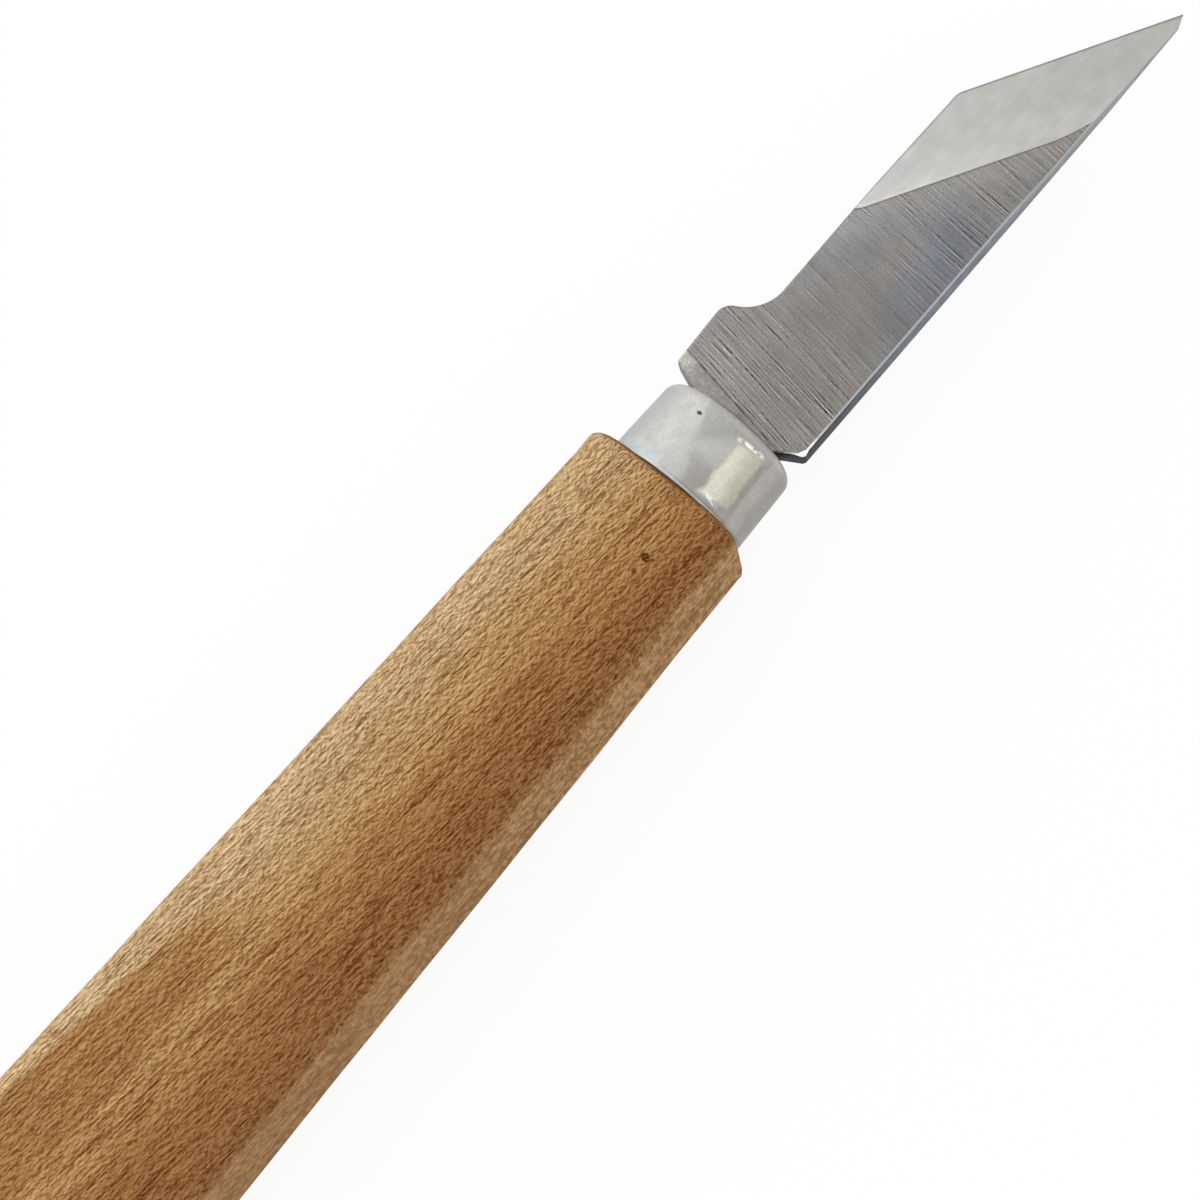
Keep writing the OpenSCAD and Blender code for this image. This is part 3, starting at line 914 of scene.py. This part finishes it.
def spinePolishAndPaintedLight(spot, x, y, z, colour):  # its chamfer is polished and carries a painted highlight, with a painted gleam at the heel, and its side wall carries painted shade that darkens to the heel
    facing = split(add(treeOf(spot), "NewGeometry").outputs["True Normal"])
    upright = calc("ABSOLUTE", facing[2])
    onSpine = fade(y, *steel["onSpine"])
    tipward = fade(x, *steel["tipward"])
    polishAndHighlight = blend(tipward, steel["polishAndHighlight"], steel["polishAndHighlightTip"])
    # a painted highlight: a pale, ragged gleam on the chamfer at the heel's corner
    gleam = shade(steel["paintedHeelGleam"], cloud(spot, *steel["gleamClouds"]))
    polishAndHighlight = blend(fade(x, *steel["toHeel"]), polishAndHighlight, gleam)
    # the side wall carries painted shade, darkest at the heel and lighter towards the tip, and near the tip
    # a painted highlight along its top
    side = blend(fade(x, *steel["sideToHeel"]), steel["spineSide"], steel["spineSideHeelShade"])
    side = blend(fade(x, *steel["sideToTip"]), side, steel["spineSideTip"])
    side = shade(side, cloud(spot, *steel["sideClouds"]))
    side = blend(times(tipward, fade(z, *steel["tipGleam"])), side, polishAndHighlight)

    # the chamfer narrows towards the tip
    spineLean = (blade["spineAtTip"] - blade["spineAtHeel"]) / (spineEnd.x - blade["heelStart"])
    spineAt = plus(blade["spineAtHeel"], times(minus(x, blade["heelStart"]), spineLean))
    fromSpine = plus(minus(y, spineAt), times(tipward, steel["tipNarrowing"]))
    narrow = fade(fromSpine, *steel["chamferWidth"])
    kept = opposite(times(tipward, opposite(narrow)))
    chamfer = times(fade(upright, *steel["chamferSlope"]), onSpine, kept)
    colour = blend(chamfer, colour, polishAndHighlight)
    wall = times(fade(upright, *steel["wallSlope"]), onSpine)
    return blend(wall, colour, side), chamfer


def makeSteel():
    material, shader, spot = newMaterial("groundSteel")
    x, y, z = split(measured(spot))
    colour, scores = groundFlat(spot, x, y)
    colour, bevelMask = groundBevel(spot, x, y, colour)
    colour, chamfer = spinePolishAndPaintedLight(spot, x, y, z, colour)
    feedAll(shader, {
        "Base Color": colour, "Metallic": 1.0, "Specular Tint": steel["grazing"],
        "Roughness": fade(larger(bevelMask, chamfer), 0.0, 1.0, *steel["roughness"]),
        "Normal": raised(times(scores, opposite(bevelMask)), *steel["bump"])})
    return material


# the satin aluminium of the ferrule: places are measured from its front, turns in degrees from the top
# to the spine's side, and bands are given as from, to and the softness of their ends

aluminium = {
    # the pale, soft and blue tones and the darker stripes and bands round the cup are painted reflections
    "pale": (0.47, 0.462, 0.448), "turnWaver": (3.0, 14.0),
    "darkStripeReflection": (0.385, 0.374, 0.355), "stripeFade": (-4.0, 4.0),
    "slantFrom": -4.5, "slant": 3.0,  # degrees that the stripe turns for each mm along the ferrule
    "darkReflection": (0.34, 0.326, 0.292), "rearDark": (10.0, 24.0, 4.0), "rearDarkFade": (-5.0, -7.2, 0.0, 0.6),
    "soft": (0.45, 0.436, 0.408), "softFade": (54.0, 58.0),
    "dimReflection": (0.36, 0.345, 0.325), "dimFade": (62.0, 76.0),
    "blueReflection": (0.46, 0.5, 0.505), "blueBand": (-66.0, -14.0, 6.0), "blueFade": (-6.9, -7.9),

    # the painted warm gleam, the painted reflections round it and the painted highlights at its ends
    "faintReflection": (0.48, 0.474, 0.438), "faintLean": (-3.2, 6.0), "faintFade": (3.0, 18.0),
    "faintTurn": (0.0, 27.0, 2.0), "faintBand": (-5.2, -1.9, 0.8),
    "gleam": (0.69, 0.67, 0.565), "gleamEnd": (0.5, 0.48, 0.405), "gleamFade": (30.0, 45.0),
    "gleamLean": (26.0, -0.032), "gleamTurn": (24.0, 49.0, 2.0), "gleamBand": (-7.9, -2.15, 0.3),
    "darkReflectionTurn": (50.5, 54.0, 1.5), "darkReflectionBand": (-7.6, -1.8, 0.4),
    "streak": (1.0, 0.98, 0.93), "streakClouds": (0.5, 1.0), "streakFade": (0.8, 1.1), "streakTone": 0.9,
    "frontLean": (22.0, -0.016), "frontBand": (-1.95, -1.6, 0.12), "frontTurn": (22.0, 47.0, 4.0),
    "rearLean": (26.0, 0.0245), "rearBand": (-7.72, -7.35, 0.12), "rearTurn": (28.0, 39.0, 4.0),

    # the painted shade and reflection lines at either end, and a small pit
    "darkBorderLine": (0.2, 0.19, 0.175), "frontShadeLine": (-0.3, -0.14), "frontShadeLineTurn": (-45.0, 5.0, 0.0, 0.75),
    "rearShadeLine": (-8.42, -8.25, 0.07), "rearShadeLineTurn": (-10.0, 15.0, 0.0, 0.4),
    "rearReflectionLine": (0.5, 0.52, 0.5), "rearLineFade": (-8.42, -8.52, 0.0, 0.7),
    "pit": (-2.11, 1.51, 7.37), "pitClouds": (0.28, 2.2, 1.0), "pitFade": (0.28, 0.168), "pitTone": 0.85,

    "rimHighlight": (-1.3, -0.7, 1.0, 1.18), "grains": ((0.35, 0.3, 2.0), (2.2, 0.16, 3.0)),
    "roughClouds": (1.2, 1.0), "roughness": (0.8, 1.2, 0.6, 0.5), "dents": (0.6, 0.5), "bump": (0.3, 0.02),
}


def makeAluminium():
    material, shader, spot = newMaterial("satinAluminium")
    fromFront = measured(spot)
    x, y, z = split(fromFront)
    lay = lambda under, mask, name: blend(mask, under, aluminium[name])
    faded = lambda value, name: fade(value, *aluminium[name])
    banded = lambda value, name: band(value, *aluminium[name])
    clouds = lambda name: cloud(spot, *aluminium[name])

    def leaning(name):  # x along lines that lean over round the cup
        start, gain = aluminium[name]
        return plus(x, times(minus(turn, start), gain))

    # painted reflections: light and dark tones lie side by side round the cup, alike above and below
    turn = calc("ARCTAN2", times(y, -1.0), calc("ABSOLUTE", z))
    turn = plus(times(turn, math.degrees(1)), minus(clouds("turnWaver"), 1.0))
    slanted = plus(turn, times(minus(x, aluminium["slantFrom"]), aluminium["slant"]))
    colour = lay(aluminium["pale"], faded(slanted, "stripeFade"), "darkStripeReflection")
    colour = lay(colour, times(banded(turn, "rearDark"), faded(x, "rearDarkFade")), "darkReflection")
    colour = lay(colour, faded(turn, "softFade"), "soft")
    colour = lay(colour, faded(calc("ABSOLUTE", turn), "dimFade"), "dimReflection")
    colour = lay(colour, times(banded(turn, "blueBand"), faded(x, "blueFade")), "blueReflection")

    # painted reflections: a warm gleam with a fainter one before it and a darker band on its far side, and a
    # painted highlight at either end
    faintFrom, faintGain = aluminium["faintLean"]
    before = minus(turn, times(minus(x, faintFrom), faintGain))
    faintReflection = times(faded(before, "faintFade"), banded(turn, "faintTurn"), banded(x, "faintBand"))
    colour = lay(colour, faintReflection, "faintReflection")
    warm = blend(faded(turn, "gleamFade"), aluminium["gleam"], aluminium["gleamEnd"])
    colour = blend(times(banded(turn, "gleamTurn"), banded(leaning("gleamLean"), "gleamBand")), colour, warm)
    colour = lay(colour, times(banded(turn, "darkReflectionTurn"), banded(x, "darkReflectionBand")), "darkReflection")
    frontHighlight = times(banded(leaning("frontLean"), "frontBand"), banded(turn, "frontTurn"))
    rearHighlight = times(banded(leaning("rearLean"), "rearBand"), banded(turn, "rearTurn"))
    streak = times(larger(frontHighlight, rearHighlight), faded(clouds("streakClouds"), "streakFade"))
    colour = lay(colour, times(streak, aluminium["streakTone"]), "streak")

    # painted shade as a dark line at the blade and a thin dark one at the wood, a painted reflection as a
    # pale line at the wood, and a small pit
    colour = lay(colour, times(faded(x, "frontShadeLine"), faded(turn, "frontShadeLineTurn")), "darkBorderLine")
    colour = lay(colour, times(banded(x, "rearShadeLine"), faded(turn, "rearShadeLineTurn")), "darkBorderLine")
    colour = lay(colour, faded(x, "rearLineFade"), "rearReflectionLine")
    fromPit = times(away(fromFront, aluminium["pit"]), clouds("pitClouds"))
    pit = faded(fromPit, "pitFade")
    tone = times(*[cloud(spot, *grain) for grain in aluminium["grains"]])
    # painted highlight: the front rim is made lighter; the pit is darkened
    tone = times(tone, faded(x, "rimHighlight"), opposite(times(pit, aluminium["pitTone"])))
    feedAll(shader, {
        "Base Color": shade(colour, tone), "Metallic": 1.0,
        "Roughness": faded(clouds("roughClouds"), "roughness"),
        "Normal": raised(minus(clouds("dents"), pit), *aluminium["bump"])})
    return material


# the set resin round the tang, out of sight inside the handle

resin = {
    "dark": (0.46, 0.33, 0.12),
    "pale": (0.62, 0.5, 0.24),
    "clouds": (3.0, 0.4),
    "cloudFade": (0.8, 1.2),
    "roughness": (0.8, 1.2, 0.22, 0.12),
}


def makeResin():
    material, shader, spot = newMaterial("setResin")
    tone = cloud(spot, *resin["clouds"])
    colour = blend(fade(tone, *resin["cloudFade"]), resin["dark"], resin["pale"])
    feedAll(shader, {"Base Color": colour, "Roughness": fade(tone, *resin["roughness"])})
    return material


mount(makeBlade(), "blade", makeSteel())
mount(makeFerrule(), "ferrule", makeAluminium())
mount(makeHandle(), "handle", makeWood())
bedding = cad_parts["tang_bedding"]
bedding.data.materials.clear()
bedding.data.materials.append(makeResin())
print("tang_bedding in setResin")


# the studio: a white floor, soft light from the upper left and a camera above the knife

studio = {
    "floorSize": 6.0,
    "paper": (0.97, 0.97, 0.97),
    "white": (1, 1, 1),
    "floorGlow": (110.0, 300.0, 0.92, 1.0),  # plain white further out, in mm
    "keyPlace": (-0.12, 0.55, 0.42),
    "keySize": 1.05,
    "keyPower": 3.1,
    "fillPlace": (-0.3, -0.4, 0.5),
    "fillSize": 0.5,
    "fillPower": 0.6,
    "worldLight": 0.7,
    "cameraPlace": (-0.0088767, -0.0421621, 0.1605316),
    "cameraTurn": (13.841, 8.1473, -49.0513),
    "lens": 50,
    "sensor": 36,
    "nearest": 0.005,
}


def whiteForSight(tree):  # 1 for what the camera, metal and glass see
    path = add(tree, "LightPath").outputs
    seen = plus(path["Is Camera Ray"], path["Is Glossy Ray"])
    return calc("ADD", seen, path["Is Transmission Ray"], clamp=True)


def makeFloor():
    bpy.ops.object.select_all(action="DESELECT")
    bpy.ops.mesh.primitive_plane_add(size=studio["floorSize"])
    floor = bpy.context.object
    floor.name = "floor"
    material, shader, spot = newMaterial("whiteFloor")
    tree = material.node_tree
    tree.nodes.remove(shader)
    paper = add(tree, "BsdfDiffuse", {"Color": studio["paper"]}).outputs[0]
    glow = add(tree, "Emission", {"Color": studio["white"], "Strength": 1.0}).outputs[0]
    whiteness = times(whiteForSight(tree), fade(away(spot), *studio["floorGlow"]))
    mixed = add(tree, "MixShader", {0: whiteness, 1: paper, 2: glow})
    feed(mixed.outputs[0], tree.nodes["Material Output"].inputs[0])
    floor.data.materials.append(material)


def makeWorld():
    world = bpy.data.worlds.new("studio")
    bpy.context.scene.world = world
    world.use_nodes = True
    light = slide(whiteForSight(world.node_tree), 0.0, 1.0, studio["worldLight"], 1.0)
    feedAll(world.node_tree.nodes["Background"], {"Color": studio["white"], "Strength": light})


def addLamp(name, where, size, power):
    bpy.ops.object.light_add(type="AREA", location=where)
    lamp = bpy.context.object
    lamp.name = name
    lamp.data.size = size
    lamp.data.energy = power
    lamp.rotation_euler = (-Vector(where)).to_track_quat("-Z", "Y").to_euler()


def addCamera():
    turn = [math.radians(angle) for angle in studio["cameraTurn"]]
    bpy.ops.object.camera_add(location=studio["cameraPlace"], rotation=turn)
    camera = bpy.context.object
    camera.data.lens = studio["lens"]
    camera.data.sensor_width = studio["sensor"]
    camera.data.clip_start = studio["nearest"]
    bpy.context.scene.camera = camera
    bpy.context.scene.view_settings.view_transform = "Standard"


makeFloor()
makeWorld()
addLamp("keyLight", studio["keyPlace"], studio["keySize"], studio["keyPower"])
addLamp("fillLight", studio["fillPlace"], studio["fillSize"], studio["fillPower"])
addCamera()
print("studio ready")
